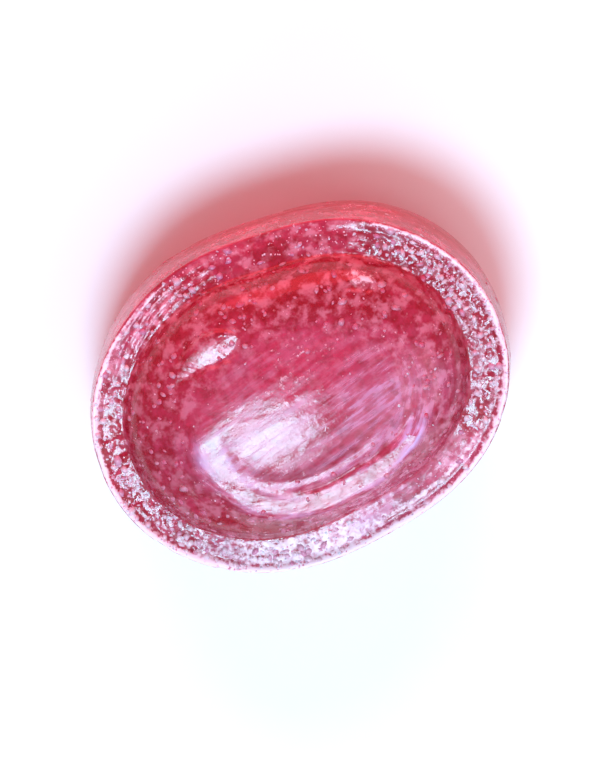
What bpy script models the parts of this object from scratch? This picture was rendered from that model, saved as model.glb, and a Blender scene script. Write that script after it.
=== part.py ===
"""One boiled fruit sweet: an oval drop pressed between two dies inside a collar.

Units are metres, +Z is up. The long axis lies along X and the origin is the middle of the
small flat spot that the sweet rests on. Both faces have the same shape: a flat brim inside a
thin lip that is worn away along one side, and a steep-sided dome that rises from the brim. Along
the other side the dome bears the edge of a medallion: a broad, almost level shelf, and a fine
ring and a groove inside it. The collar leaves a band round the edge.
"""

import math

import bmesh
import bpy
from mathutils import Vector

MM = 0.001

# Driving sizes of the whole sweet
LENGTH = 20.0 * MM
WIDTH = 16.45 * MM  # of the full oval, before its two long sides are pressed flatter
THICKNESS = 9.7 * MM  # from crown to crown, before the rest spot takes a little off the lower one
BAND_HEIGHT = 4.7 * MM
RIM_WIDTH = 1.8 * MM  # from the outline to the dome's foot
REST_SPOT = 0.26  # semi-axes of the flat spot, as a share of the dome's

# Outline of the band, seen from above
FULLNESS = 2.05  # exponent of the oval, where 2 is an ellipse
FLAT_SIDES = (  # direction, spread and share by which the collar pressed the outline flatter
    (math.radians(80.0), math.radians(24.0), 0.039),
    (math.radians(278.0), math.radians(30.0), 0.044),
)
RIM_LEAN = 0.20 * MM  # the dome sits a little off the middle, so the rim is wider on one side
RIM_LEAN_ANGLE = math.radians(326.0)

# Band, lip and brim
BAND_BULGE = 0.12 * MM
LIP_HEIGHT = 0.16 * MM
LIP_WIDTH = 0.45 * MM
LIP_ROUND = 0.12 * MM
CREST_INSET = BAND_BULGE + LIP_ROUND  # from the outline to the crest of the lip
BAND_WAVE = 0.05 * MM  # the two dies met unevenly, so the lip's height wanders
BRIM_DROP = 0.32 * MM  # how far the brim slopes down towards its edge where it slopes most

# Dome and its relief, by share of the dome's radius
CROWN_SEMI_AXES = (LENGTH / 2 - RIM_WIDTH, 0.96 * WIDTH / 2 - RIM_WIDTH)  # of the dome as a plain ellipse
DOME_POWER = 0.40  # below 0.5 the sides are steeper than a ball's
FOOT_ROUND = 0.03
SHELF_WALL, SHELF_FADE = 0.06, 0.13  # over which the shelf's relief fades, inside and outside it
RING_AT, RING_GROOVE_AT, RING_WIDE, RING_HIGH = 0.575, 0.505, 0.035, 0.045 * MM

# The sweet was pressed unevenly and is worn: shares of full height by direction in degrees
BRIM_SLOPE = (
    (0, 0.0), (42, 0.2), (62, 0.85), (85, 1.0), (105, 1.0), (130, 0.45), (150, 0.0),
    (255, 0.0), (282, 0.6), (312, 0.65), (338, 0.0),
)
LIP_LEFT = ((0, 1.0), (40, 0.85), (52, 0.2), (62, 0.0), (112, 0.0), (130, 0.5), (150, 1.0))

# The medallion's shelf by direction: where it starts and ends, how steeply it falls outwards, how many mm
# its middle stands above the plain dome, and the shares of the shelf and of the ring that are pressed
SHELF = (
    (0, 0.68, 0.74, 0.0, 0.0, 0.0, 0.0), (160, 0.46, 0.54, 0.04, 0.07, 0.0, 0.0),
    (176, 0.48, 0.60, 0.02, 0.075, 0.9, 0.0), (192, 0.50, 0.64, 0.01, 0.095, 1.0, 0.1),
    (207, 0.55, 0.67, 0.02, 0.105, 1.0, 0.3), (223, 0.60, 0.735, 0.02, 0.20, 1.0, 0.6),
    (240, 0.645, 0.765, 0.01, 0.285, 1.0, 1.0), (263, 0.67, 0.81, 0.0, 0.375, 1.0, 1.0),
    (288, 0.665, 0.82, -0.01, 0.405, 1.0, 0.9), (306, 0.68, 0.79, -0.02, 0.385, 1.0, 0.9),
    (322, 0.715, 0.77, -0.02, 0.40, 0.95, 0.3), (342, 0.73, 0.75, 0.1, 0.15, 0.0, 0.0),
)

# Fineness of the faceted solid
SIDES = 70
DOME_RINGS = (
    0.13, 0.26, 0.36, 0.42, 0.45, 0.48, 0.515, 0.54, 0.565, 0.59, 0.615, 0.64, 0.665, 0.69, 0.715,
    0.74, 0.765, 0.79, 0.82, 0.86, 0.90, 0.935, 0.96, 0.98, 0.993,
)
BRIM_RINGS = (1.0, 1.12, 1.38, 1.64, 1.76, 1.88)
LIP_STEPS = 3
BAND_STEPS = 4

SWEET_COLOUR = (0.60, 0.030, 0.130, 1.0)


def bump(at, middle, spread):
    """A smooth hill of height 1 at middle, about spread wide on each side."""
    return math.exp(-(((at - middle) / spread) ** 2))


def around(angle, middle, spread):
    """A smooth hill in the direction middle, which closes on itself round the sweet."""
    return bump((angle - middle + math.pi) % (2.0 * math.pi), math.pi, spread)


def by_direction(angle, table, column=1):
    """A column of the table round the sweet, on straight lines between its directions."""
    degrees = math.degrees(angle) % 360.0
    rows = (*table, (table[0][0] + 360.0, *table[0][1:]))
    for before, after in zip(rows, rows[1:]):
        if degrees <= after[0]:
            share = (degrees - before[0]) / (after[0] - before[0])
            return before[column] + (after[column] - before[column]) * share


def smooth_step(share):
    """0 below 0, 1 above 1, and an S-shaped rise between them."""
    share = min(1.0, max(0.0, share))
    return share * share * (3.0 - 2.0 * share)


def outline_radius(angle):
    """Distance from the middle to the widest part of the band in this direction."""
    along = abs(math.cos(angle)) / (LENGTH / 2)
    across = abs(math.sin(angle)) / (WIDTH / 2)
    oval = (along**FULLNESS + across**FULLNESS) ** (-1.0 / FULLNESS)
    return oval * (1.0 - sum(share * around(angle, middle, spread) for middle, spread, share in FLAT_SIDES))


def foot_radius(angle):
    """Distance from the middle to the dome's foot in this direction."""
    return outline_radius(angle) - RIM_WIDTH - RIM_LEAN * math.cos(angle - RIM_LEAN_ANGLE)


def dome_radius(share, angle):
    """Distance from the middle to a ring of the dome: a plain ellipse near the crown, the foot's shape outside."""
    ellipse = 1.0 / math.hypot(math.cos(angle) / CROWN_SEMI_AXES[0], math.sin(angle) / CROWN_SEMI_AXES[1])
    outer = smooth_step(share)
    return share * (ellipse * (1.0 - outer) + foot_radius(angle) * outer)


def foot_level(angle):
    """Height of the dome's foot above the middle plane of the sweet."""
    wave = math.cos(2.0 * angle + 0.6) + 0.7 * math.cos(3.0 * angle - 1.1)
    return BAND_HEIGHT / 2 - LIP_HEIGHT + BAND_WAVE * wave


def brim_edge_level(angle):
    """Height of the brim's outer edge, from which the lip rises."""
    return foot_level(angle) - BRIM_DROP * by_direction(angle, BRIM_SLOPE)


def lip_level(angle):
    """Height of the lip's crest above the middle plane."""
    return brim_edge_level(angle) + LIP_HEIGHT * by_direction(angle, LIP_LEFT)


def dome_rise(share):
    """Height of the dome's plain surface as a share of its full height: 1 in the middle, 0 at its foot.

    One less the square of the share, to a power, gives the steep side. The second factor rounds the foot.
    """
    inside = max(0.0, 1.0 - share * share)
    return inside**DOME_POWER * inside * (1.0 + FOOT_ROUND) / (inside + FOOT_ROUND)


def medallion(share, angle):
    """Relief on the dome: a broad, almost level shelf, and a fine ring with a groove inside it."""
    inner, outer, fall, lift, shelved, ringed = (by_direction(angle, SHELF, column) for column in range(1, 7))
    middle = (inner + outer) / 2
    within = min(max(share, inner), outer)
    drop = (THICKNESS / 2 - foot_level(angle)) * (dome_rise(middle) - dome_rise(within))
    level = lift * MM + drop - fall * (within - middle) * foot_radius(angle)
    inside = smooth_step(1.0 - (inner - share) / SHELF_WALL) * smooth_step(1.0 - (share - outer) / SHELF_FADE)
    ring = bump(share, RING_AT, RING_WIDE) - bump(share, RING_GROOVE_AT, RING_WIDE)
    return shelved * level * inside + ringed * RING_HIGH * ring


def face_height(share, angle):
    """Height of a face above the middle plane: share is 0 in the middle, 1 at the dome's foot, 2 at the crest."""
    foot = foot_level(angle)
    if share < 1.0:
        return foot + (THICKNESS / 2 - foot) * dome_rise(share) + medallion(share, angle)
    edge = brim_edge_level(angle)
    from_crest = (2.0 - share) * (outline_radius(angle) - CREST_INSET - foot_radius(angle))
    lip = (lip_level(angle) - edge) * smooth_step(1.0 - from_crest / LIP_WIDTH)
    return foot + (edge - foot) * (share - 1.0) + lip


def face_radius(share, angle):
    """Distance from the middle to the ring of a face with this share."""
    if share < 1.0:
        return dome_radius(share, angle)
    foot = foot_radius(angle)
    return foot + (share - 1.0) * (outline_radius(angle) - CREST_INSET - foot)


def ring_angles():
    return [2.0 * math.pi * i / SIDES for i in range(SIDES)]


def face_ring(share, side):
    """One ring of a face, on the upper side (side 1) or the lower one (side -1)."""
    return [
        Vector((
            face_radius(share, angle) * math.cos(angle),
            face_radius(share, angle) * math.sin(angle),
            side * face_height(share, angle),
        ))
        for angle in ring_angles()
    ]


def edge_rings():
    """The lip's rounded corners and the band between them, from the upper lip to the lower one."""
    stations = []
    for step in range(LIP_STEPS + 1):
        turn = 0.5 * math.pi * step / LIP_STEPS
        stations.append((LIP_ROUND * (math.sin(turn) - 1.0), LIP_ROUND * (1.0 - math.cos(turn)), 1.0))
    for step in range(1, BAND_STEPS):
        stations.append((0.0, LIP_ROUND, 1.0 - 2.0 * step / BAND_STEPS))
    stations += [(outward, down, -1.0) for outward, down, _ in reversed(stations[:LIP_STEPS + 1])]
    rings = []
    for outward, down, level in stations:
        bulge = BAND_BULGE * (1.0 - level * level)
        ring = []
        for angle in ring_angles():
            radius = outline_radius(angle) - BAND_BULGE + outward + bulge
            height = level * (lip_level(angle) - down)
            ring.append(Vector((radius * math.cos(angle), radius * math.sin(angle), height)))
        rings.append(ring)
    return rings


def sweet_rings():
    """All rings from the top of the upper dome, over the edge, to the rest spot underneath."""
    upper = [face_ring(share, 1) for share in DOME_RINGS + BRIM_RINGS]
    lower_shares = [share for share in DOME_RINGS + BRIM_RINGS if share > REST_SPOT]
    lower = [face_ring(share, -1) for share in reversed(lower_shares)]
    lower.append(face_ring(REST_SPOT, -1))
    return upper + edge_rings() + lower


def stand_on_rest_spot(rings, crown):
    """Moves the sweet so that its box is centred over the origin and its rest spot is level, at height 0."""
    xs = [point.x for ring in rings for point in ring]
    ys = [point.y for ring in rings for point in ring]
    floor = max(point.z for point in rings[-1])
    shift = Vector((-(min(xs) + max(xs)) / 2, -(min(ys) + max(ys)) / 2, -floor))
    for ring in rings:
        for point in ring:
            point += shift
            point.z = max(point.z, 0.0)
    for point in rings[-1]:
        point.z = 0.0
    crown += shift


def build_sweet():
    rings = sweet_rings()
    crown = Vector((0.0, 0.0, THICKNESS / 2))
    stand_on_rest_spot(rings, crown)

    shape = bmesh.new()
    loops = [[shape.verts.new(point) for point in ring] for ring in rings]
    top = shape.verts.new(crown)
    for i in range(SIDES):
        after = (i + 1) % SIDES
        shape.faces.new((top, loops[0][i], loops[0][after]))
        for inner, outer in zip(loops, loops[1:]):
            shape.faces.new((inner[i], outer[i], outer[after], inner[after]))
    shape.faces.new(reversed(loops[-1]))
    bmesh.ops.recalc_face_normals(shape, faces=shape.faces)

    mesh = bpy.data.meshes.new("fruit_sweet")
    shape.to_mesh(mesh)
    shape.free()
    for face in mesh.polygons:
        face.use_smooth = len(face.vertices) <= 4
    sweet = bpy.data.objects.new("fruit_sweet", mesh)
    bpy.context.scene.collection.objects.link(sweet)
    return sweet


def boiled_sugar():
    """Clear crimson boiled sugar, a little dulled by rubbing."""
    material = bpy.data.materials.new("boiled_sugar")
    material.use_nodes = True
    surface = material.node_tree.nodes["Principled BSDF"]
    surface.inputs["Base Color"].default_value = SWEET_COLOUR
    surface.inputs["Metallic"].default_value = 0.0
    surface.inputs["Roughness"].default_value = 0.22
    surface.inputs["IOR"].default_value = 1.49
    surface.inputs["Transmission Weight"].default_value = 0.8
    return material


def main():
    for old in list(bpy.data.objects):
        bpy.data.objects.remove(old)
    sweet = build_sweet()
    sweet.data.materials.append(boiled_sugar())


main()
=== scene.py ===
"""The looks of one boiled fruit sweet: an oval drop of clear crimson sugar, dusted with fine sugar.

Everything is in metres, in the frame of the CAD model: the sweet's long axis lies along X, +Z is up
and the sweet rests on the origin. The body is one closed surface of two parameters, the angle round
the sweet and the station on the way from its crown to the middle of its band. Sugar pebbles, grains
and dust lie on it as small solid crumbs.
"""

import itertools
import math
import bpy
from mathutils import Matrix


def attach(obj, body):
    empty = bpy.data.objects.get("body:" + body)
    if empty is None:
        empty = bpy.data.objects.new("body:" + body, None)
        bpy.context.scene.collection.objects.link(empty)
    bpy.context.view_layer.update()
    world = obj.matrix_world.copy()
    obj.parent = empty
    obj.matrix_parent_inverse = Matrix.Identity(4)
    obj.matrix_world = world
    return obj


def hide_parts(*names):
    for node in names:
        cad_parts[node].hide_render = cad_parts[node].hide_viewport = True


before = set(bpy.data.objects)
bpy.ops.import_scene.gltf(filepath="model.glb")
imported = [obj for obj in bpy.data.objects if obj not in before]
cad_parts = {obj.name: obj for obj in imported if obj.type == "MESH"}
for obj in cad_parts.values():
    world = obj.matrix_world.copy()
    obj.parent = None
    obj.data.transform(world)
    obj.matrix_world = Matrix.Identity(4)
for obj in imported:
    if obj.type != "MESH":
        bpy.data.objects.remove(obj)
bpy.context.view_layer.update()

from types import SimpleNamespace

import bpy
import numpy as np
from mathutils import Matrix, Vector

MM = 0.001
FULL_TURN = 2.0 * math.pi

# Driving sizes of the sweet, the same as the CAD model's. Directions are in degrees.
LENGTH = 20.0 * MM
WIDTH = 16.45 * MM
THICKNESS = 9.7 * MM
BAND_HEIGHT = 4.7 * MM
RIM_WIDTH = 1.8 * MM
REST_SPOT = 0.26
FULLNESS = 2.05
FLAT_SIDES = ((80.0, 24.0, 0.039), (278.0, 30.0, 0.044))  # direction, spread, share off the radius
RIM_LEAN, RIM_LEAN_ANGLE = 0.20 * MM, 326.0
BAND_BULGE = 0.12 * MM
LIP_HEIGHT = 0.16 * MM
LIP_WIDTH = 0.45 * MM
LIP_ROUND = 0.12 * MM
CREST_INSET = BAND_BULGE + LIP_ROUND
BAND_WAVE = 0.05 * MM
BRIM_DROP = 0.32 * MM
CROWN_SEMI_AXES = (LENGTH / 2 - RIM_WIDTH, 0.96 * WIDTH / 2 - RIM_WIDTH)
DOME_POWER = 0.40
FOOT_ROUND = 0.03
SHELF_WALL, SHELF_FADE = 0.06, 0.13
RING_AT, RING_GROOVE_AT, RING_WIDE, RING_HIGH = 0.575, 0.505, 0.035, 0.045 * MM

# Shares of full height round the sweet, by direction in degrees, the same as the CAD model's
BRIM_SLOPE = (
    (0, 0.0), (42, 0.2), (62, 0.85), (85, 1.0), (105, 1.0), (130, 0.45), (150, 0.0),
    (255, 0.0), (282, 0.6), (312, 0.65), (338, 0.0),
)
LIP_LEFT = ((0, 1.0), (40, 0.85), (52, 0.2), (62, 0.0), (112, 0.0), (130, 0.5), (150, 1.0))

# The medallion's shelf by direction: where it starts and ends, how steeply it falls outwards, how many mm
# its middle stands above the plain dome, and the shares of the shelf and of the ring that are pressed
SHELF = (
    (0, 0.68, 0.74, 0.0, 0.0, 0.0, 0.0), (160, 0.46, 0.54, 0.04, 0.07, 0.0, 0.0),
    (176, 0.48, 0.60, 0.02, 0.075, 0.9, 0.0), (192, 0.50, 0.64, 0.01, 0.095, 1.0, 0.1),
    (207, 0.55, 0.67, 0.02, 0.105, 1.0, 0.3), (223, 0.60, 0.735, 0.02, 0.20, 1.0, 0.6),
    (240, 0.645, 0.765, 0.01, 0.285, 1.0, 1.0), (263, 0.67, 0.81, 0.0, 0.375, 1.0, 1.0),
    (288, 0.665, 0.82, -0.01, 0.405, 1.0, 0.9), (306, 0.68, 0.79, -0.02, 0.385, 1.0, 0.9),
    (322, 0.715, 0.77, -0.02, 0.40, 0.95, 0.3), (342, 0.73, 0.75, 0.1, 0.15, 0.0, 0.0),
)

# Stations of the surface, counted from the crown: the dome ends at 1, the lip's crest is at 2,
# the lip's outer corner ends at CORNER_END and the middle plane of the band is at 3
CORNER_END = 2.4
MIDDLE_PLANE = 3.0

# Points round the sweet, and rings on dome, brim, corner and band of the upper and of the lower half
SIDES = 720
UPPER_RINGS = (60, 20, 6, 8)
LOWER_RINGS = (22, 8, 4, 6)

# Fine relief, pressed or worn into the plain surface: how high it is, and how large
SLUMP_HIGH, SLUMP_SIZE = 0.03 * MM, 4.2 * MM
CROWN_TILT, TILT_ANGLE = 0.048, 214.0  # slope, and the direction in which the crown is pressed higher
FLOW_HIGH, FLOW_SIZE, FLOW_LONG = 0.012 * MM, 0.70 * MM, 5.0
PIT_HIGH, PIT_SIZE = 0.004 * MM, 0.42 * MM
GROOVE_DEEP, GROOVE_AT, GROOVE_WIDE = 0.06 * MM, 0.955, 0.025
TOOTH_HIGH, TOOTH_STEP = 0.008 * MM, 3.4

# Two level chips on the dome's shoulder: direction, and the stations where the chip starts and ends. Each
# rises for each whole station by as much as the plain dome falls there.
LARGE_CHIP = (
    (0, 0.69, 0.69), (102, 0.69, 0.69), (107, 0.66, 0.70), (113, 0.62, 0.76), (121, 0.60, 0.78),
    (128, 0.63, 0.78), (136, 0.68, 0.78), (143, 0.72, 0.775), (148, 0.75, 0.75), (359, 0.69, 0.69),
)
LARGE_RISE = 2.1 * MM
SMALL_CHIP = (
    (0, 0.865, 0.865), (33, 0.865, 0.865), (36, 0.845, 0.89), (44, 0.835, 0.875), (47, 0.855, 0.855),
)
SMALL_RISE = 4.3 * MM
FROST_HIGH, FROST_SIZE = 0.070 * MM, 0.36 * MM
CHIP_DEEP, CHIP_SIZE = 0.06 * MM, 0.75 * MM
BAND_LINE_HIGH, BAND_LINE_SIZE = 0.020 * MM, 1.1 * MM
TERRACE_HIGH, TERRACE_STEP, TERRACE_SLANT = 0.030 * MM, 0.44 * MM, 2.0
ROLL_RADIUS = 8.0 * MM

# Sugar round the sweet, by direction: how much of the brim carries pebbles, how strong the lip's pale
# line is, and how thick the film on the brim is
BRIM_DUSTING = (
    (0, 0.95), (40, 0.95), (47, 0.15), (98, 0.12), (112, 0.35), (132, 0.45), (165, 0.75), (194, 0.90),
    (225, 0.90), (250, 0.80), (262, 0.40), (270, 0.12), (318, 0.12), (332, 0.80),
)
LIP_DUSTING = (
    (0, 0.75), (40, 0.55), (50, 0.12), (115, 0.12), (140, 0.60), (160, 0.85), (305, 0.90), (320, 0.55),
)
BRIM_HAZE = (
    (0, 0.06), (40, 0.05), (50, 0.0), (105, 0.0), (135, 0.10), (165, 0.0), (195, 0.02), (215, 0.14),
    (240, 0.18), (255, 0.24), (285, 0.22), (312, 0.08), (330, 0.06),
)

# Patches of film beside the crown, which also paint lilac sheen beside and over the highlight: thickness,
# then middle and spread along X and along Y, in mm
FILM_AND_SHEEN_PATCHES = ((0.20, 3.4, 3.4, -1.8, 2.3), (0.12, -3.0, 3.0, -0.4, 1.9))

# Sugar pebbles in rows on the brim, how many of the other crumbs there are, and from what size to what
PEBBLE_ROWS, PEBBLE_COLUMNS = 4, 124
GRAIN_COUNT, FRECKLE_COUNT, DUST_COUNT = 900, 620, 2400
PEBBLE_SIZES, GRAIN_SIZES = (0.26 * MM, 0.54 * MM), (0.09 * MM, 0.22 * MM)
FRECKLE_SIZES, DUST_SIZES = (0.14 * MM, 0.46 * MM), (0.05 * MM, 0.14 * MM)

# Colours as linear red, green, blue and alpha: the boiled sugar, where it is thin and where it is deeper
# in tone or painted in shade, what lies on it, whose lilac film also paints sheen and whose pale dust
# also paints glints, and the tint that light takes on inside it
CLEAR_ROSE, COOL_ROSE = (0.76, 0.035, 0.10, 1.0), (0.76, 0.055, 0.16, 1.0)
DEEP_AND_SHADED_CRIMSON = (0.50, 0.006, 0.034, 1.0)
BLOOM_PINK = (0.95, 0.33, 0.46, 1.0)
FILM_AND_SHEEN_LILAC = (0.60, 0.43, 0.76, 1.0)
PALE_DUST_AND_GLINTS = (0.93, 0.75, 0.84, 1.0)
INSIDE_TINT, INSIDE_DENSITY = (0.97, 0.05, 0.40, 1.0), 150.0
CLEARNESS = 0.58  # share of the light that bare boiled sugar lets through
FLOOR_GREY = (0.86, 0.86, 0.86, 1.0)

# Dry sugar: name, palest and rosiest colour, share of the light let through, and roughness
PEBBLE_SUGAR = ("pebble_sugar", (1.0, 0.74, 0.84, 1.0), (0.78, 0.24, 0.42, 1.0), 0.35, 0.28)
LOOSE_SUGAR = ("loose_sugar", (0.88, 0.82, 0.93, 1.0), (0.80, 0.45, 0.62, 1.0), 0.35, 0.25)
ROSY_SUGAR = ("rosy_sugar", (0.93, 0.36, 0.50, 1.0), (0.86, 0.12, 0.26, 1.0), 0.5, 0.40)
FINE_SUGAR = ("fine_sugar", (0.95, 0.60, 0.74, 1.0), (0.86, 0.22, 0.38, 1.0), 0.35, 0.5)

# Oval softboxes: name, azimuth, elevation, distance, width, height, radiance and tint
SOFTBOXES = (
    ("key", 232.5, 72.1, 0.30, 0.113, 0.113, 26.0, (0.45, 0.80, 1.0)),
    ("key_surround", 228.0, 66.0, 0.32, 0.23, 0.23, 1.3, (0.60, 0.76, 1.0)),
    ("near_strip", 248.0, 33.0, 0.40, 0.60, 0.08, 4.5, (0.75, 0.84, 1.0)),
    ("low_side", 310.0, 52.0, 0.35, 0.25, 0.25, 1.5, (0.86, 0.82, 0.92)),
    ("far_glow", 72.0, 20.0, 0.40, 0.40, 0.30, 5.7, (1.0, 0.08, 0.10)),
)
SKY_STRENGTH, SKY_TINT = 0.36, (1.0, 0.82, 0.84)
FLOOR_RADIUS, FLOOR_DROP = 0.9, 0.01 * MM

# Camera: the sweet's long axis runs up to the right by VIEW_TURN, and the camera leans to the far side
VIEW_TURN = math.radians(24.3)
VIEW_RISE = math.radians(76.1)
LENS = 300.0
SENSOR = 36.0
FRAME_PIXELS = (600, 770)
SWEET_PIXELS = 430.0  # length of the sweet in the picture

# Chance values, and the whole numbers that scatter the corners of a lattice and the seeds over them
CHANCE = np.random.default_rng(41).uniform(-1.0, 1.0, 8192)
LATTICE_PRIMES, SEED_STEP = (73856093, 19349663, 83492791), 2654435


# ---------------------------------------------------------------- shape functions


def bump(at, middle, spread):
    """A smooth hill of height 1 at middle: e to the minus square of the distance over spread."""
    return np.exp(-(((at - middle) / spread) ** 2))


def smooth_step(share):
    """0 below 0, 1 above 1, and the S-curve 3 s^2 - 2 s^3 between them."""
    share = np.clip(share, 0.0, 1.0)
    return share * share * (3.0 - 2.0 * share)


def ramp(at, start, end):
    """The S-curve from 0 at start to 1 at end, which may run downwards."""
    return smooth_step((at - start) / (end - start))


def around(angle, middle_degrees, spread_degrees):
    """A smooth hill round the sweet, centred on a direction, that closes on itself."""
    apart = (angle - math.radians(middle_degrees) + math.pi) % FULL_TURN - math.pi
    return np.exp(-((apart / math.radians(spread_degrees)) ** 2))


def by_direction(angle, table, column=1):
    """A column of the table round the sweet, on straight lines between its directions."""
    table = np.array(table)
    return np.interp(np.degrees(angle) % 360.0, table[:, 0], table[:, column], period=360.0)


def lattice_noise(place, size, seed):
    """Smooth noise from -1 to 1: chance values at a cubic lattice's corners, blended by the S-curve."""
    scaled = place / size
    cell = np.floor(scaled).astype(np.int64)
    share = smooth_step(scaled - cell)
    total = np.zeros(place.shape[:-1])
    for corner in itertools.product((0, 1), repeat=3):
        across, along, up = np.moveaxis((cell + np.array(corner)) * np.array(LATTICE_PRIMES), -1, 0)
        key = across ^ along ^ up ^ seed * SEED_STEP
        weight = np.prod(np.where(np.array(corner) == 1, share, 1.0 - share), axis=-1)
        total += weight * CHANCE[key % len(CHANCE)]
    return total


def layered_noise(place, size, seed, layers=3):
    """Lattice noise summed over layers, each half as large and half as strong as the last."""
    total = np.zeros(place.shape[:-1])
    for layer in range(layers):
        total += lattice_noise(place, size / 2**layer, seed + layer) / 2**layer
    return total


def outline_radius(angle):
    """Radius of the band's widest line: a superellipse, pressed slightly flat on its two long sides."""
    along = np.abs(np.cos(angle)) / (LENGTH / 2)
    across = np.abs(np.sin(angle)) / (WIDTH / 2)
    oval = (along**FULLNESS + across**FULLNESS) ** (-1.0 / FULLNESS)
    pressed = sum(share * around(angle, middle, spread) for middle, spread, share in FLAT_SIDES)
    return oval * (1.0 - pressed)


def foot_radius(angle):
    """Radius of the dome's foot: the outline less the rim, which is wider on one side by a cosine."""
    return outline_radius(angle) - RIM_WIDTH - RIM_LEAN * np.cos(angle - math.radians(RIM_LEAN_ANGLE))


def foot_level(angle):
    """Height of the dome's foot above the middle plane: half the band less the lip, plus two waves."""
    wave = np.cos(2.0 * angle + 0.6) + 0.7 * np.cos(3.0 * angle - 1.1)
    return BAND_HEIGHT / 2 - LIP_HEIGHT + BAND_WAVE * wave


def brim_edge_level(angle):
    """Height of the brim's outer edge, where the lip rises: the foot's level less the brim's drop."""
    return foot_level(angle) - BRIM_DROP * by_direction(angle, BRIM_SLOPE)


def lip_level(angle):
    """Height of the lip's crest: the brim's edge plus as much of the lip as is left."""
    return brim_edge_level(angle) + LIP_HEIGHT * by_direction(angle, LIP_LEFT)


def dome_radius(share, angle):
    """Radius on the dome: an ellipse near the crown, which an S-curve turns into the foot's shape."""
    ellipse = 1.0 / np.hypot(np.cos(angle) / CROWN_SEMI_AXES[0], np.sin(angle) / CROWN_SEMI_AXES[1])
    outer = smooth_step(share)
    return share * (ellipse * (1.0 - outer) + foot_radius(angle) * outer)


def dome_rise(share):
    """Height of the plain dome from 1 to 0: (1 - s^2) to a power, times a factor that rounds its foot."""
    inside = np.clip(1.0 - share * share, 0.0, None)
    return inside**DOME_POWER * inside * (1.0 + FOOT_ROUND) / (inside + FOOT_ROUND)


def medallion(share, angle):
    """Relief on the dome: a broad, almost level shelf, and a fine ring with a groove inside it.

    On the shelf the relief takes away the dome's own fall and puts a straight slope in its place. Both
    sides of it fade along an S-curve. Ring and groove are smooth hills across, of opposite signs.
    """
    columns = (by_direction(angle, SHELF, column) for column in range(1, 7))
    inner, outer, fall, lift, shelved, ringed = columns
    middle = (inner + outer) / 2
    within = np.clip(share, inner, outer)
    drop = (THICKNESS / 2 - foot_level(angle)) * (dome_rise(middle) - dome_rise(within))
    level = lift * MM + drop - fall * (within - middle) * foot_radius(angle)
    inside = ramp(share, inner - SHELF_WALL, inner) * ramp(share, outer + SHELF_FADE, outer)
    ring = bump(share, RING_AT, RING_WIDE) - bump(share, RING_GROOVE_AT, RING_WIDE)
    return shelved * level * inside + ringed * RING_HIGH * ring


def dome_height(share, angle):
    """Height of the dome: the foot's level, plus the plain dome, plus the medallion."""
    foot = foot_level(angle)
    return foot + (THICKNESS / 2 - foot) * dome_rise(share) + medallion(share, angle)


def half_surface(station, angle):
    """Radius and height of the upper half: dome, brim and lip, a quarter-round corner, then the band.

    The band bulges as the square of its level, which runs from 1 at the corner to 0 at the middle plane.
    """
    outline = outline_radius(angle)
    lip = lip_level(angle)
    foot = foot_radius(angle)
    brim_width = outline - CREST_INSET - foot
    across_brim = np.clip(station - 1.0, 0.0, 1.0)
    from_crest = (1.0 - across_brim) * brim_width
    turn = 0.5 * math.pi * np.clip((station - 2.0) / (CORNER_END - 2.0), 0.0, 1.0)
    level = 1.0 - np.clip((station - CORNER_END) / (MIDDLE_PLANE - CORNER_END), 0.0, 1.0)

    on_dome, on_brim = station < 1.0, station < 2.0
    edge_radius = outline - BAND_BULGE * level**2 + LIP_ROUND * (np.sin(turn) - 1.0)
    brim_radius = foot + across_brim * brim_width
    radius = np.where(on_dome, dome_radius(station, angle), np.where(on_brim, brim_radius, edge_radius))

    brim_edge = brim_edge_level(angle)
    lip_rise = (lip - brim_edge) * smooth_step(1.0 - from_crest / LIP_WIDTH)
    brim_height = foot_level(angle) + (brim_edge - foot_level(angle)) * across_brim + lip_rise
    edge_height = level * (lip - LIP_ROUND * (1.0 - np.cos(turn)))
    height = np.where(on_dome, dome_height(station, angle), np.where(on_brim, brim_height, edge_height))
    return radius, height


def stations_of(rings, first):
    """Stations from near the crown to the middle plane, with rings shared out over the four stretches."""
    dome, brim, corner, band = rings
    return np.concatenate([
        np.linspace(first, 1.0, dome, endpoint=False),
        np.linspace(1.0, 2.0, brim, endpoint=False),
        np.linspace(2.0, CORNER_END, corner, endpoint=False),
        np.linspace(CORNER_END, MIDDLE_PLANE, band, endpoint=False),
    ])


# ---------------------------------------------------------------- relief and zones


def level_chip(place, station, angle, table, rise):
    """A level mark on the dome: it rises by rise for each whole station, which offsets the dome's slope.

    The table gives, for each direction, the station where the mark starts and the one where it ends.
    Noise makes its edges ragged.
    """
    inner, outer = by_direction(angle, table, 1), by_direction(angle, table, 2)
    slope = np.clip(station, inner, outer) - (inner + outer) / 2
    ragged = station + 0.016 * layered_noise(place, 0.9 * MM, 7)
    inside = ramp(ragged, inner - 0.035, inner) * ramp(ragged, outer + 0.03, outer)
    return rise * slope * inside


def terrace_wave(reach, angle):
    """Slanting lines on the brim, from -1 to 1: a cosine of the way across it plus part of the angle."""
    return np.cos(FULL_TURN * (reach / TERRACE_STEP + TERRACE_SLANT * angle))


def terrace_zone(station, angle):
    """Where the slanting lines show: on the brim at the far left, 0 to 1."""
    return around(angle, 122.0, 24.0) * ramp(station, 0.98, 1.1) * ramp(station, 2.1, 1.9)


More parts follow.
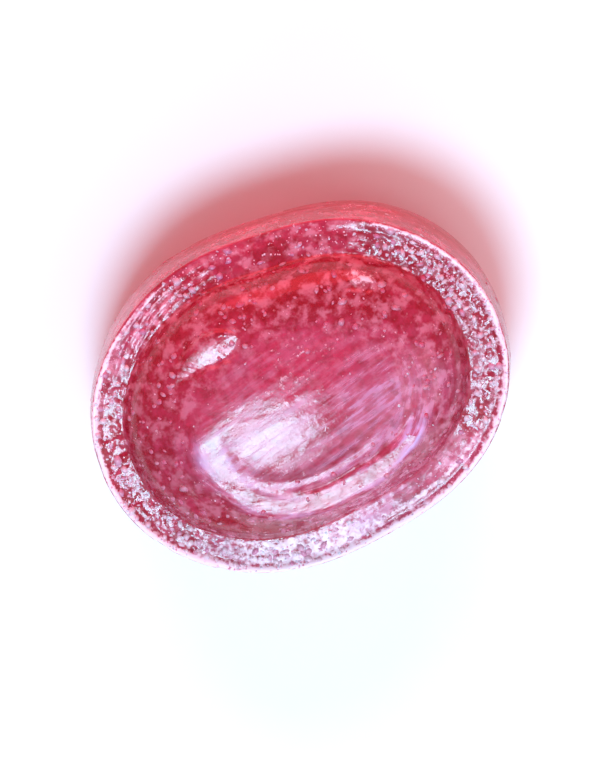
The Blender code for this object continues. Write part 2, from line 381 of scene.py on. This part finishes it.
def relief(place, lie, reach, station, angle):
    """Height of the fine relief above the plain surface: a sum of patterns, each faded over its zone."""
    on_dome = ramp(station, 1.0, 0.93)
    on_crown = ramp(station, 0.66, 0.52)
    on_brim = ramp(station, 0.99, 1.06) * ramp(station, 1.86, 1.70)
    on_lip = ramp(station, 1.80, 2.0) * ramp(station, 2.6, 2.3)
    on_band = ramp(station, 2.3, 2.5)

    slump = SLUMP_HIGH * lattice_noise(place, SLUMP_SIZE, 1) * (1.0 - 0.5 * on_lip)
    heading = math.radians(TILT_ANGLE)
    uphill = place[..., 0] * math.cos(heading) + place[..., 1] * math.sin(heading)
    tilt = CROWN_TILT * uphill * ramp(station, 0.95, 0.36)
    flow = FLOW_HIGH * layered_noise(place / np.array([FLOW_LONG, 1.0, 1.0]), FLOW_SIZE, 2) * on_crown
    pits = PIT_HIGH * layered_noise(place, PIT_SIZE, 3, 2) * on_dome
    large_chip = level_chip(place, station, angle, LARGE_CHIP, LARGE_RISE)
    small_chip = level_chip(place, station, angle, SMALL_CHIP, SMALL_RISE)
    teeth = TOOTH_HIGH * np.cos(FULL_TURN * angle / math.radians(TOOTH_STEP)) * (
        around(angle, 137.0, 7.0) * bump(station, 0.73, 0.05)
    )
    groove = -GROOVE_DEEP * bump(station, GROOVE_AT, GROOVE_WIDE) * (0.4 + around(angle, 228.0, 40.0))
    terraces = TERRACE_HIGH * terrace_wave(reach, angle) * terrace_zone(station, angle)
    frosted = on_brim * by_direction(angle, BRIM_DUSTING)
    frost = FROST_HIGH * layered_noise(place, FROST_SIZE, 4, 2) * frosted
    chips = -CHIP_DEEP * ramp(lattice_noise(place, CHIP_SIZE, 5), 0.35, 0.7) * on_lip
    drawn_round = lie * np.array([0.2, 0.2, 1.0])
    lines = BAND_LINE_HIGH * layered_noise(drawn_round, BAND_LINE_SIZE / 2, 6) * on_band
    dome = tilt + flow + pits + large_chip + small_chip + teeth + groove
    return slump + dome + terraces + frost + chips + lines


def shelf_top(station, angle):
    """Where the shelf is rubbed smooth, 0 to 1: along its middle."""
    inner, outer, shelved = (by_direction(angle, SHELF, column) for column in (1, 2, 5))
    return shelved * ramp(station, inner - 0.02, inner + 0.04) * ramp(station, outer + 0.02, outer - 0.06)


def shelf_edges(station, angle):
    """Where the shelf's two edges are, 0 to 1."""
    inner, outer, shelved = (by_direction(angle, SHELF, column) for column in (1, 2, 5))
    return shelved * (0.6 * bump(station, inner, 0.025) + bump(station, outer - 0.01, 0.035))


def near_foot_shade(station, angle):
    """Where shade is painted at the dome's near foot, which stays dark and clear, 0 to 1."""
    return bump(station, 0.87, 0.06) * around(angle, 237.0, 16.0)


def worn_streaks(lie, station, angle):
    """Noise drawn out round the sweet, on the band and on the brim where little sugar is left."""
    worn = ramp(station, 0.97, 1.05) * (1.0 - by_direction(angle, BRIM_DUSTING))
    where = np.where(station < 2.0, worn, 1.0)
    return where * layered_noise(lie * np.array([0.3, 0.3, 1.0]), 0.55 * MM, 14)


def haze_and_sheen_of(place, station, side, angle):
    """How strong the lilac film and its painted sheen are, 0 to 1.

    It lies in patches beside the crown, which also paint sheen beside and over the highlight, and as film
    on the crown and the brim; on the ring it paints a pale highlight line, and on the shelf's edges, the
    shelf's end and the near wall it paints sheen.
    """
    # Film in patches, which also paints lilac sheen beside and over the highlight
    patches = sum(
        share * bump(place[..., 0], x * MM, long * MM) * bump(place[..., 1], y * MM, wide * MM)
        for share, x, long, y, wide in FILM_AND_SHEEN_PATCHES
    )
    crown = np.where(side > 0, 0.10 * ramp(station, 0.75, 0.45) + patches, 0.05)
    crown = crown * ramp(station, 1.02, 0.96)
    brim = by_direction(angle, BRIM_HAZE) * ramp(station, 1.02, 1.12) * ramp(station, 2.3, 2.0)
    # Painted highlight as a pale line along the ring, and painted sheen on the outer wall round 284
    # degrees and at the shelf's end
    ring = 0.16 * bump(station, RING_AT - 0.025, 0.032) * by_direction(angle, SHELF, 6)
    outer_wall_sheen = 0.06 * around(angle, 284.0, 26.0) * ramp(station, 0.80, 0.88) * ramp(station, 1.02, 0.98)
    shelf_end_sheen = 0.32 * around(angle, 322.0, 9.0) * bump(station, 0.74, 0.07)
    film = crown + brim + np.where(side > 0, ring + outer_wall_sheen + shelf_end_sheen, 0.0)
    # Painted sheen along the shelf's two edges
    shelf_edge_sheen = 0.30 * shelf_edges(station, angle) * (side > 0)
    film = film * (1.0 - 0.3 * shelf_top(station, angle)) + shelf_edge_sheen
    return np.clip(film * (1.0 + 0.5 * layered_noise(place, 2.1 * MM, 11)), 0.0, 1.0)


def dust_and_glints_of(place, reach, station, side, angle):
    """How much fine sugar clings, 0 to 1: on the brim, in lines and a pale spot, and a little all over.
    The line in the crease at the dome's foot round 38 degrees and the spot on the shoulder round 40
    degrees are painted highlights.
    """
    on_brim = ramp(station, 1.02, 1.12) * ramp(station, 1.95, 1.75)
    white_side = 0.45 * around(angle, 248.0, 35.0) + 0.13 * around(angle, 350.0, 36.0)
    brim = on_brim * (0.04 + 0.04 * by_direction(angle, BRIM_DUSTING) + white_side)
    lip_line = by_direction(angle, LIP_DUSTING) * bump(station, 2.00, np.where(station < 2.0, 0.13, 0.26))
    # Painted highlight: a pale line along the crease at the dome's foot round 38 degrees
    foot_highlight_line = 0.45 * bump(station, 1.03, 0.035) * around(angle, 38.0, 24.0)
    second_line = 0.40 * bump(station, 1.62, 0.07) * around(angle, 300.0, 28.0)
    terraces = 0.35 * ramp(terrace_wave(reach, angle), 0.2, 0.9) * terrace_zone(station, angle)
    # Painted glint: a pale spot of dust on the dome's shoulder round 40 degrees, over the small level
    # chip
    scuff_and_glint = 0.50 * bump(station, 0.885, 0.03) * around(angle, 40.0, 6.0)
    dome = 0.06 * ramp(station, 1.0, 0.92) * (1.0 - shelf_top(station, angle))
    band = 0.06 * ramp(station, 2.35, 2.6)
    patches = 0.06 * layered_noise(place, 2.4 * MM, 13)
    lines = np.where(side > 0, foot_highlight_line + second_line + terraces + scuff_and_glint, 0.0)
    return np.clip(brim + lip_line + lines + dome + band + patches, 0.0, 1.0)


def depth_and_shade_of(place, lie, station, angle):
    """How deep the colour is, 0 to 1: painted shade on the dome's sides, at its ends and far side, in the
    groove, beside the ring, at the near foot and between the pebbles, painted light round 305 degrees,
    and a deeper band, uneven tone and worn streaks.
    """
    # Painted shade on the dome's steep sides, at both ends and on the far side, and painted light on its
    # side round 305 degrees
    shaded_dome_side = 0.22 * ramp(station, 0.55, 0.82) * ramp(station, 1.05, 1.0)
    both_ends = around(angle, 42.0, 34.0) + 0.7 * around(angle, 190.0, 36.0)
    shaded_ends = 0.36 * both_ends * bump(station, 0.80, 0.20)
    shaded_far_side = 0.40 * around(angle, 58.0, 34.0) * bump(station, 0.74, 0.15)
    lit_fair_side = 0.35 * around(angle, 305.0, 36.0) * bump(station, 0.88, 0.20)
    # Painted shade in the groove at the dome's foot, beside the ring, in the ring's groove and at the
    # near foot
    groove = 0.75 * bump(station, GROOVE_AT, 0.045) * (0.20 + around(angle, 228.0, 34.0))
    shade_beside_ring = bump(station, RING_AT + 0.04, 0.025) * by_direction(angle, SHELF, 6)
    shade_in_groove = bump(station, RING_GROOVE_AT - 0.035, 0.035) * around(angle, 258.0, 50.0)
    shaded_arcs = 0.35 * shade_beside_ring + shade_in_groove
    foot = groove + near_foot_shade(station, angle)
    dome = 0.20 + shaded_dome_side + shaded_ends + shaded_far_side - lit_fair_side + foot + shaded_arcs

    # Painted shade between the pebbles on the brim, less of it round 242 and 182 degrees
    on_brim = ramp(station, 1.0, 1.1) * ramp(station, 1.95, 1.80)
    paler = 0.4 * around(angle, 242.0, 32.0) + 0.25 * around(angle, 182.0, 30.0)
    shade_between_pebbles = on_brim * by_direction(angle, BRIM_DUSTING) * (0.85 - paler)
    band = 0.50 * ramp(station, 2.3, 2.6)
    uneven = 0.20 * layered_noise(place, 2.6 * MM, 12)
    streaks = 0.70 * worn_streaks(lie, station, angle)
    return np.clip(dome + shade_between_pebbles + band + uneven + streaks, 0.0, 1.0)


def bloom_of(lie, station, angle):
    """How strongly rosy patches of thin sugar show, 0 to 1.

    They show on the dome's side, but not on its shelf, on the worn brim, and a little on the band.
    """
    wall = 0.28 * around(angle, 276.0, 26.0) * ramp(station, 0.80, 0.88)
    dome = (0.20 + 0.45 * ramp(station, 0.42, 0.7) + wall) * ramp(station, 1.05, 0.95)
    dome = dome * (1.0 - 0.85 * shelf_top(station, angle)) * (1.0 - 0.35 * around(angle, 185.0, 40.0))
    dome = dome * (1.0 - near_foot_shade(station, angle))
    on_brim = ramp(station, 0.95, 1.05) * ramp(station, 2.2, 1.9)
    worn = 1.0 - by_direction(angle, BRIM_DUSTING)
    brim = on_brim * (0.8 * worn + 0.65 * around(angle, 134.0, 22.0))
    band = 0.28 * ramp(station, 2.0, 2.4)
    return dome + np.clip((brim + band) * (1.0 - 0.7 * worn_streaks(lie, station, angle)), 0.0, 1.0)


def cloud_of(station):
    """How much less clear the sugar is, 0 to 1: on the band."""
    return 0.14 * ramp(station, 2.0, 2.4)


def surface_normals(points):
    """Outward normals of a grid of rings: the cross product of its two central differences."""
    down = np.gradient(points, axis=0)
    across = np.roll(points, -1, axis=1) - np.roll(points, 1, axis=1)
    normals = np.cross(down, across)
    return normals / np.linalg.norm(normals, axis=-1, keepdims=True)


def sweet_grid():
    """The whole surface as a grid of rings, from the upper crown over the edge to the lower crown.

    Its lie is the surface unrolled: the angle on a cylinder, and up it the way covered from the crown.
    """
    upper = stations_of(UPPER_RINGS, 0.012)
    lower = stations_of(LOWER_RINGS, 0.04)
    station = np.concatenate([upper, [MIDDLE_PLANE], lower[::-1]])[:, None]
    side = np.concatenate([np.ones(len(upper) + 1), -np.ones(len(lower))])[:, None]
    angle = (FULL_TURN * np.arange(SIDES) / SIDES)[None, :]

    radius, height = half_surface(station, angle)
    plain = np.stack([radius * np.cos(angle), radius * np.sin(angle), side * height], axis=-1)
    centre = (plain.min(axis=(0, 1)) + plain.max(axis=(0, 1))) / 2
    rest_level = half_surface(np.array([[REST_SPOT]]), angle)[1].min()
    plain -= np.array([centre[0], centre[1], -rest_level])

    steps = np.linalg.norm(np.diff(plain[:, :1], axis=0), axis=-1)
    reach = np.concatenate([np.zeros((1, 1)), np.cumsum(steps, axis=0)])
    rolled = np.broadcast_arrays(ROLL_RADIUS * np.cos(angle), ROLL_RADIUS * np.sin(angle), reach)
    lie = np.stack(rolled, axis=-1)

    clear_of_rest = np.where(side > 0, 1.0, ramp(station, REST_SPOT + 0.05, REST_SPOT + 0.30))
    lift = relief(plain, lie, reach, station, angle) * clear_of_rest
    points = plain + surface_normals(plain) * lift[..., None]
    points[..., 2] = np.maximum(points[..., 2], 0.0)
    return SimpleNamespace(
        points=points, normals=surface_normals(points), station=station, side=side, angle=angle, lie=lie,
        crown=ramp(station, 0.66, 0.50) * np.ones_like(angle),
        haze_and_sheen=haze_and_sheen_of(plain, station, side, angle), dust=dust_and_glints_of(plain, reach, station, side, angle),
        depth=depth_and_shade_of(plain, lie, station, angle), bloom=bloom_of(lie, station, angle),
        cloud=cloud_of(station) * np.ones_like(angle),
    )


# ---------------------------------------------------------------- meshes


def mesh_piece(name, points, faces, material, smooth=True):
    """A piece made from arrays of points and of faces, with its place in its mesh."""
    mesh = bpy.data.meshes.new(name)
    mesh.from_pydata(points, [], faces)
    mesh.polygons.foreach_set("use_smooth", np.full(len(mesh.polygons), smooth))
    mesh.materials.append(material)
    mesh.update()
    piece = bpy.data.objects.new(name, mesh)
    bpy.context.scene.collection.objects.link(piece)
    return piece


def add_attribute(piece, name, values):
    """A number, or a row of three, at each point of the piece, for its material to read."""
    values = np.asarray(values, dtype=np.float32)
    if values.ndim == 2:
        layer = piece.data.attributes.new(name, "FLOAT_VECTOR", "POINT")
        layer.data.foreach_set("vector", values.ravel())
    else:
        layer = piece.data.attributes.new(name, "FLOAT", "POINT")
        layer.data.foreach_set("value", values)


def closed_grid_faces(rings, sides):
    """Quads between neighbouring rings, and fans of triangles to a pole at each end."""
    index = np.arange(rings * sides).reshape(rings, sides)
    after = np.roll(index, -1, axis=1)
    quads = np.stack([index[:-1], index[1:], after[1:], after[:-1]], axis=-1).reshape(-1, 4)
    top, bottom = rings * sides, rings * sides + 1
    upper_fan = np.stack([np.full(sides, top), index[0], after[0]], axis=-1)
    lower_fan = np.stack([index[-1], np.full(sides, bottom), after[-1]], axis=-1)
    return quads.tolist() + upper_fan.tolist() + lower_fan.tolist()


def with_poles(values):
    """A grid's values in one list, with the means of its first and of its last ring at the end."""
    flat = values.reshape(-1, *values.shape[2:])
    return np.concatenate([flat, [values[0].mean(axis=0), values[-1].mean(axis=0)]])


def make_sweet_body(grid, material):
    """The boiled sweet itself, closed at both crowns. A pole takes the mean of the ring beside it."""
    rings, sides = grid.points.shape[:2]
    piece = mesh_piece("sweet_body", with_poles(grid.points), closed_grid_faces(rings, sides), material)
    for name in ("crown", "haze_and_sheen", "dust", "depth", "bloom", "cloud", "lie"):
        add_attribute(piece, name, with_poles(getattr(grid, name)))
    return piece


def crumb_shape():
    """A crumb of twenty faces: its corners are (0, 1, g), (1, g, 0) and (g, 0, 1) with all signs.

    Here g is the golden ratio, and three corners make a face if they are all one edge apart.
    """
    golden = (1.0 + math.sqrt(5.0)) / 2.0
    corners = []
    for one, long in itertools.product((-1.0, 1.0), (-golden, golden)):
        corners += [(0.0, one, long), (one, long, 0.0), (long, 0.0, one)]
    corners = np.array(corners) / math.hypot(1.0, golden)
    edge = 2.0 / math.hypot(1.0, golden) * 1.01
    faces = []
    for a, b, c in itertools.combinations(range(12), 3):
        trio = corners[[a, b, c]]
        sides = np.linalg.norm(trio - np.roll(trio, 1, axis=0), axis=1)
        if sides.max() < edge:
            outward = np.dot(np.cross(trio[1] - trio[0], trio[2] - trio[0]), trio.sum(axis=0)) > 0
            faces.append((a, b, c) if outward else (a, c, b))
    return corners, np.array(faces)


def spots_on(grid, weight, count, chance):
    """Random spots on the grid, by each cell's area times weight: where, which way up, and the column."""
    points = grid.points
    across = np.roll(points, -1, axis=1)[:-1] - points[:-1]
    down = points[1:] - points[:-1]
    area = np.linalg.norm(np.cross(across, down), axis=-1)
    odds = (area * (weight * np.ones_like(grid.crown))[:-1]).ravel()
    ring, column = np.unravel_index(chance.choice(odds.size, count, p=odds / odds.sum()), area.shape)
    u, v = chance.random((2, count, 1))
    spots = points[ring, column] + u * across[ring, column] + v * down[ring, column]
    return spots, grid.normals[ring, column], column


def rows_on_brim(grid, chance):
    """Spots in staggered rows round both brims: where, which way up, and the column of the grid.

    Each is moved by chance, and more of them are kept where the sugar is thick.
    """
    row, column, side = np.meshgrid(
        np.arange(PEBBLE_ROWS), np.arange(PEBBLE_COLUMNS), np.array([1.0, -1.0]), indexing="ij"
    )
    jitter = chance.uniform(-0.34, 0.34, (2, *row.shape))
    station = 1.05 + 0.88 * (row + 0.5 + jitter[0]) / PEBBLE_ROWS
    angle = FULL_TURN * (column + 0.5 * (row % 2) + jitter[1]) / PEBBLE_COLUMNS
    odds = 0.75 * by_direction(angle, BRIM_DUSTING) * (0.3 + 0.7 * ramp(station, 1.05, 1.3))
    kept = chance.random(row.shape) < odds
    place = np.where(side > 0, station, 2.0 * MIDDLE_PLANE - station)[kept]
    stations = np.where(grid.side > 0, grid.station, 2.0 * MIDDLE_PLANE - grid.station)[:, 0]
    ring = np.clip(np.searchsorted(stations, place), 0, len(stations) - 1)
    nearest = np.rint(angle[kept] / FULL_TURN * SIDES).astype(int) % SIDES
    return grid.points[ring, nearest], grid.normals[ring, nearest], nearest


def make_crumbs(name, spots, normals, sizes, flatness, sunk, shade, material, chance, smooth=False):
    """Crumbs at the spots: jittered, stretched, spun about their normals and partly sunk."""
    count = len(spots)
    corners, faces = crumb_shape()
    shapes = corners * chance.uniform(0.78, 1.15, (count, len(corners), 1))
    size = np.exp(chance.uniform(math.log(sizes[0]), math.log(sizes[1]), (count, 1, 1))) / 2
    stretch = chance.uniform((0.85, 0.65, 0.7 * flatness), (1.25, 1.0, 1.3 * flatness), (count, 3))
    shapes = shapes * size * stretch[:, None, :]

    first = np.cross(normals, chance.normal(size=(count, 3)))
    first /= np.linalg.norm(first, axis=1, keepdims=True)
    second = np.cross(normals, first)
    axes = np.stack([first, second, normals], axis=1)
    middle = spots - normals * (sunk * flatness) * size[:, 0]
    placed = np.einsum("nvi,nij->nvj", shapes, axes) + middle[:, None, :]
    placed[..., 2] = np.maximum(placed[..., 2], 0.02 * MM)

    all_faces = (faces[None] + len(corners) * np.arange(count)[:, None, None]).reshape(-1, 3)
    piece = mesh_piece(name, placed.reshape(-1, 3), all_faces.tolist(), material, smooth)
    add_attribute(piece, "shade", np.repeat(np.clip(shade, 0.0, 1.0), len(corners)))
    return piece


# ---------------------------------------------------------------- materials


def new_material(name):
    """A node material with only a Principled BSDF, whose sockets the caller sets."""
    material = bpy.data.materials.new(name)
    material.use_nodes = True
    tree = material.node_tree
    return material, tree, tree.nodes["Principled BSDF"]


def add_node(tree, kind, settings=(), **inputs):
    """A node with its properties from settings, and its sockets set or linked by name or by number."""
    made = tree.nodes.new(kind)
    for key, value in dict(settings).items():
        setattr(made, key, value)
    for key, value in inputs.items():
        socket = made.inputs[int(key[1:]) if key[0] == "_" else key.replace("_", " ")]
        if isinstance(value, bpy.types.NodeSocket):
            tree.links.new(value, socket)
        else:
            socket.default_value = value
    return made


def attribute_node(tree, name):
    """What the mesh keeps at each point under this name."""
    return add_node(tree, "ShaderNodeAttribute", {"attribute_name": name})


def drawn_out(tree, place, lengths, turn=0.0):
    """Coordinates in which a pattern is lengths times as long along each axis, after a turn about Z."""
    return add_node(
        tree, "ShaderNodeMapping", {"vector_type": "TEXTURE"},
        Vector=place, Rotation=(0.0, 0.0, math.radians(turn)), Scale=lengths,
    ).outputs["Vector"]


def math_node(tree, operation, first, second=0.0, third=0.0):
    """The sum, product or other operation on up to three numbers."""
    return add_node(
        tree, "ShaderNodeMath", {"operation": operation}, _0=first, _1=second, _2=third
    ).outputs[0]


def noise_node(tree, place, scale, detail=2.0, roughness=0.5):
    """Noise about 0.5, with scale waves for each metre."""
    return add_node(
        tree, "ShaderNodeTexNoise", Vector=place, Scale=scale, Detail=detail, Roughness=roughness
    ).outputs["Fac"]


def range_node(tree, value, low, high, to_low=0.0, to_high=1.0):
    """The value carried from low and high to the new ends along an S-curve."""
    return add_node(
        tree, "ShaderNodeMapRange", {"interpolation_type": "SMOOTHSTEP"},
        Value=value, From_Min=low, From_Max=high, To_Min=to_low, To_Max=to_high,
    ).outputs["Result"]


def mix_colours(tree, share, first, second):
    """The first colour at share 0, the second at share 1."""
    return add_node(
        tree, "ShaderNodeMix", {"data_type": "RGBA"}, _0=share, _6=first, _7=second
    ).outputs[2]


def mix_numbers(tree, share, first, second):
    """The first number at share 0, the second at share 1."""
    return add_node(
        tree, "ShaderNodeMix", {"data_type": "FLOAT"}, _0=share, _2=first, _3=second
    ).outputs[0]


def boiled_sugar():
    """Clear crimson boiled sugar under a streaky lilac film, with fine sugar in specks and lines. Its
    deep colour also paints shade, its film paints sheen and its pale dust paints glints.
    """
    material, tree, shader = new_material("boiled_sugar")
    place = add_node(tree, "ShaderNodeTexCoord").outputs["Object"]
    lie = attribute_node(tree, "lie").outputs["Vector"]
    crown, haze_and_sheen_at, dust_and_glints_at, depth_and_shade_at, bloom_at, cloud_at = (
        attribute_node(tree, name).outputs["Fac"]
        for name in ("crown", "haze_and_sheen", "dust", "depth", "bloom", "cloud")
    )

    blotch = noise_node(tree, place, 1500.0, 3.0, 0.6)
    patch = noise_node(tree, place, 1800.0, 3.0, 0.58)
    speck = noise_node(tree, place, 3300.0, 2.0, 0.55)
    fine = noise_node(tree, place, 7000.0, 2.0)
    drift = noise_node(tree, place, 420.0, 2.0)
    crown_streaks = noise_node(tree, drawn_out(tree, place, (9.0, 1.0, 1.0), 12.0), 3400.0, 3.0, 0.6)
    side_lines = noise_node(tree, drawn_out(tree, lie, (7.0, 7.0, 1.0)), 3000.0, 3.0, 0.6)
    streaks = mix_numbers(tree, crown, side_lines, crown_streaks)

    # The colour of the cloudy sugar is blotched, and deeper where its tone is deep and where shade is
    # painted on it
    specks = math_node(tree, "MULTIPLY_ADD", speck, 1.3, -1.7)
    blotches = math_node(tree, "MULTIPLY_ADD", blotch, 2.1, specks)
    deep = range_node(tree, math_node(tree, "ADD", depth_and_shade_at, blotches), 0.0, 1.0)
    rose = mix_colours(tree, drift, CLEAR_ROSE, COOL_ROSE)
    clear = mix_colours(tree, deep, rose, DEEP_AND_SHADED_CRIMSON)
    bloom = math_node(tree, "MULTIPLY", bloom_at, range_node(tree, patch, 0.43, 0.66))
    clear = mix_colours(tree, bloom, clear, BLOOM_PINK)

    # The film, which also paints lilac sheen and a highlight line, is thicker in streaks, and dust, which
    # also paints a glint and a highlight line, shows as specks where both it and the noise are high
    film = math_node(tree, "MULTIPLY", haze_and_sheen_at, range_node(tree, streaks, 0.35, 0.65, 0.4, 1.7))
    hazy = mix_colours(tree, film, clear, FILM_AND_SHEEN_LILAC)
    grit = math_node(tree, "MULTIPLY_ADD", speck, 0.9, -0.70)
    grit = math_node(tree, "MULTIPLY_ADD", fine, 0.5, grit)
    dust_and_glints_level = math_node(tree, "ADD", dust_and_glints_at, math_node(tree, "MULTIPLY_ADD", streaks, 0.4, grit))
    dust = math_node(tree, "MULTIPLY", range_node(tree, dust_and_glints_level, 0.40, 0.80), 0.85)
    tree.links.new(mix_colours(tree, dust, hazy, PALE_DUST_AND_GLINTS), shader.inputs["Base Color"])

    # Film, dust and bloom cover the clear sugar, which makes it less clear and rougher
    covered = math_node(tree, "MULTIPLY_ADD", film, 0.6, math_node(tree, "MULTIPLY", dust, 0.55))
    covered = math_node(tree, "MULTIPLY_ADD", bloom, 0.2, covered)
    clouded = math_node(tree, "ADD", covered, cloud_at)
    tree.links.new(math_node(tree, "SUBTRACT", CLEARNESS, clouded), shader.inputs["Transmission Weight"])
    rubbed = range_node(tree, streaks, 0.35, 0.65, 0.11, 0.20)
    tree.links.new(math_node(tree, "MULTIPLY_ADD", covered, 0.5, rubbed), shader.inputs["Roughness"])
    shader.inputs["IOR"].default_value = 1.49

    # The finest relief follows the streaks, the specks and the dust
    height = math_node(tree, "MULTIPLY_ADD", streaks, 0.6, math_node(tree, "MULTIPLY", speck, 0.5))
    height = math_node(tree, "MULTIPLY_ADD", fine, 0.2, height)
    height = math_node(tree, "MULTIPLY_ADD", dust, 0.4, height)
    ruffle = add_node(tree, "ShaderNodeBump", Strength=0.35, Distance=0.05 * MM, Height=height)
    tree.links.new(ruffle.outputs["Normal"], shader.inputs["Normal"])

    inside = add_node(tree, "ShaderNodeVolumeAbsorption", Color=INSIDE_TINT, Density=INSIDE_DENSITY)
    tree.links.new(inside.outputs["Volume"], tree.nodes["Material Output"].inputs["Volume"])
    return material


def grain_sugar(name, pale, rosy, transmission, roughness):
    """Dry sugar: half-clear crumbs, from pale to rosy."""
    material, tree, shader = new_material(name)
    shade = attribute_node(tree, "shade").outputs["Fac"]
    tree.links.new(mix_colours(tree, shade, pale, rosy), shader.inputs["Base Color"])
    shader.inputs["Roughness"].default_value = roughness
    shader.inputs["IOR"].default_value = 1.5
    shader.inputs["Transmission Weight"].default_value = transmission
    return material


def plain_floor():
    """An even, matt, pale grey."""
    material, tree, shader = new_material("pale_floor")
    shader.inputs["Base Color"].default_value = FLOOR_GREY
    shader.inputs["Roughness"].default_value = 0.7
    return material


# ---------------------------------------------------------------- stage


def make_floor():
    """A wide round floor just under the sweet."""
    angle = FULL_TURN * np.arange(96) / 96
    across, along = FLOOR_RADIUS * np.cos(angle), FLOOR_RADIUS * np.sin(angle)
    points = np.stack([across, along, np.full_like(angle, -FLOOR_DROP)], axis=-1)
    return mesh_piece("pale_floor", points, [list(range(len(angle)))], plain_floor())


def add_softbox(name, azimuth, elevation, distance, width, height, radiance, tint):
    """A flat oval area light in the direction of azimuth and elevation, facing the sweet.

    Its power is its radiance times pi times its area, so that its size can change without its brightness.
    """
    light = bpy.data.lights.new(name, "AREA")
    light.shape = "ELLIPSE"
    light.size, light.size_y = width, height
    light.energy = radiance * math.pi * (0.25 * math.pi * width * height)
    light.color = tint
    lamp = bpy.data.objects.new(name, light)
    heading, rise = math.radians(azimuth), math.radians(elevation)
    flat = math.cos(rise)
    way = Vector((math.cos(heading) * flat, math.sin(heading) * flat, math.sin(rise)))
    lamp.location = Vector((0.0, 0.0, THICKNESS / 2)) + way * distance
    lamp.rotation_euler = way.to_track_quat("Z", "Y").to_euler()
    bpy.context.scene.collection.objects.link(lamp)


def add_sky(strength, colour):
    """An even surround."""
    world = bpy.data.worlds.new("pale_surround")
    world.use_nodes = True
    world.node_tree.nodes["Background"].inputs["Color"].default_value = (*colour, 1.0)
    world.node_tree.nodes["Background"].inputs["Strength"].default_value = strength
    bpy.context.scene.world = world


def add_camera():
    """A long lens that looks down steeply, rolled so that the sweet lies as in the picture."""
    heading = 0.5 * math.pi - VIEW_TURN
    lean = Vector((math.cos(heading), math.sin(heading), 0.0))
    back = lean * math.cos(VIEW_RISE) + Vector((0.0, 0.0, math.sin(VIEW_RISE)))
    up = lean * math.sin(VIEW_RISE) - Vector((0.0, 0.0, math.cos(VIEW_RISE)))
    right = up.cross(back)

    view_height = LENGTH / SWEET_PIXELS * FRAME_PIXELS[1]
    distance = view_height * LENS / SENSOR
    target = Vector((0.0, 0.0, THICKNESS / 2))
    camera = bpy.data.objects.new("camera", bpy.data.cameras.new("camera"))
    camera.data.lens = LENS
    camera.data.sensor_width = SENSOR
    camera.data.clip_start, camera.data.clip_end = 0.01, 10.0
    camera.matrix_world = Matrix.Translation(target + back * distance) @ Matrix(
        (right, up, back)
    ).transposed().to_4x4()
    bpy.context.scene.collection.objects.link(camera)
    bpy.context.scene.camera = camera


# ---------------------------------------------------------------- assembly


def make_pebbles(grid):
    """The large sugar pebbles in rows on the brims, rosier towards the far side."""
    chance = np.random.default_rng(7)
    spots, normals, column = rows_on_brim(grid, chance)
    rosy = 0.75 * around(grid.angle[0, column], 85.0, 38.0)
    shade = chance.random(len(spots)) ** 1.5 + rosy
    return make_crumbs(
        "sugar_pebbles", spots, normals, PEBBLE_SIZES, flatness=0.65, sunk=0.45,
        shade=shade, material=grain_sugar(*PEBBLE_SUGAR), chance=chance, smooth=True,
    )


def make_grains(grid, clumps):
    """Loose smaller grains between the pebbles, and a few on the dome."""
    chance = np.random.default_rng(9)
    on_brim = ramp(grid.station, 1.0, 1.08) * ramp(grid.station, 2.1, 1.9)
    weight = (on_brim + 0.02) * clumps * by_direction(grid.angle, BRIM_DUSTING)
    spots, normals, column = spots_on(grid, weight, GRAIN_COUNT, chance)
    shade = chance.random(len(spots)) * 0.9 + 0.6 * around(grid.angle[0, column], 85.0, 38.0)
    return make_crumbs(
        "sugar_grains", spots, normals, GRAIN_SIZES, flatness=0.6, sunk=0.3,
        shade=shade, material=grain_sugar(*LOOSE_SUGAR), chance=chance,
    )


def make_freckles(grid, clumps):
    """Low rosy blisters of sugar on the sides of the domes."""
    chance = np.random.default_rng(10)
    weight = bump(grid.station, 0.82, 0.22) * (0.3 + clumps) + 0.05 * (grid.station > 2.3)
    weight = weight * (1.0 - 0.9 * shelf_top(grid.station, grid.angle))
    spots, normals, _ = spots_on(grid, weight, FRECKLE_COUNT, chance)
    shade = chance.random(len(spots))
    return make_crumbs(
        "sugar_freckles", spots, normals, FRECKLE_SIZES, flatness=0.25, sunk=0.3,
        shade=shade, material=grain_sugar(*ROSY_SUGAR), chance=chance, smooth=True,
    )


def make_dust(grid, clumps):
    """The finest crumbs, all over the sweet and thicker on the brims."""
    chance = np.random.default_rng(8)
    on_brim = ramp(grid.station, 1.0, 1.08) * ramp(grid.station, 2.1, 1.9)
    dusting = 0.2 + 0.8 * by_direction(grid.angle, BRIM_DUSTING)
    on_band = ramp(grid.station, 2.3, 2.6)
    weight = (0.03 + on_brim * dusting + 0.12 * on_band) * clumps
    weight = weight * np.where(grid.side > 0, 1.0, 0.5)
    spots, normals, _ = spots_on(grid, weight, DUST_COUNT, chance)
    shade = chance.random(len(spots))
    return make_crumbs(
        "sugar_dust", spots, normals, DUST_SIZES, flatness=0.35, sunk=0.25,
        shade=shade, material=grain_sugar(*FINE_SUGAR), chance=chance,
    )


grid = sweet_grid()
clumps = 0.35 + ramp(layered_noise(grid.points, 1.3 * MM, 21), -0.3, 0.5)

body = make_sweet_body(grid, boiled_sugar())
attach(body, "root")
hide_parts("fruit_sweet")

clinging_sugar = (
    make_pebbles(grid), make_grains(grid, clumps), make_freckles(grid, clumps), make_dust(grid, clumps),
)
for crumbs in clinging_sugar:
    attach(crumbs, "root")

make_floor()
add_sky(SKY_STRENGTH, SKY_TINT)
for softbox in SOFTBOXES:
    add_softbox(*softbox)
bpy.context.scene.view_settings.view_transform = "Standard"
add_camera()
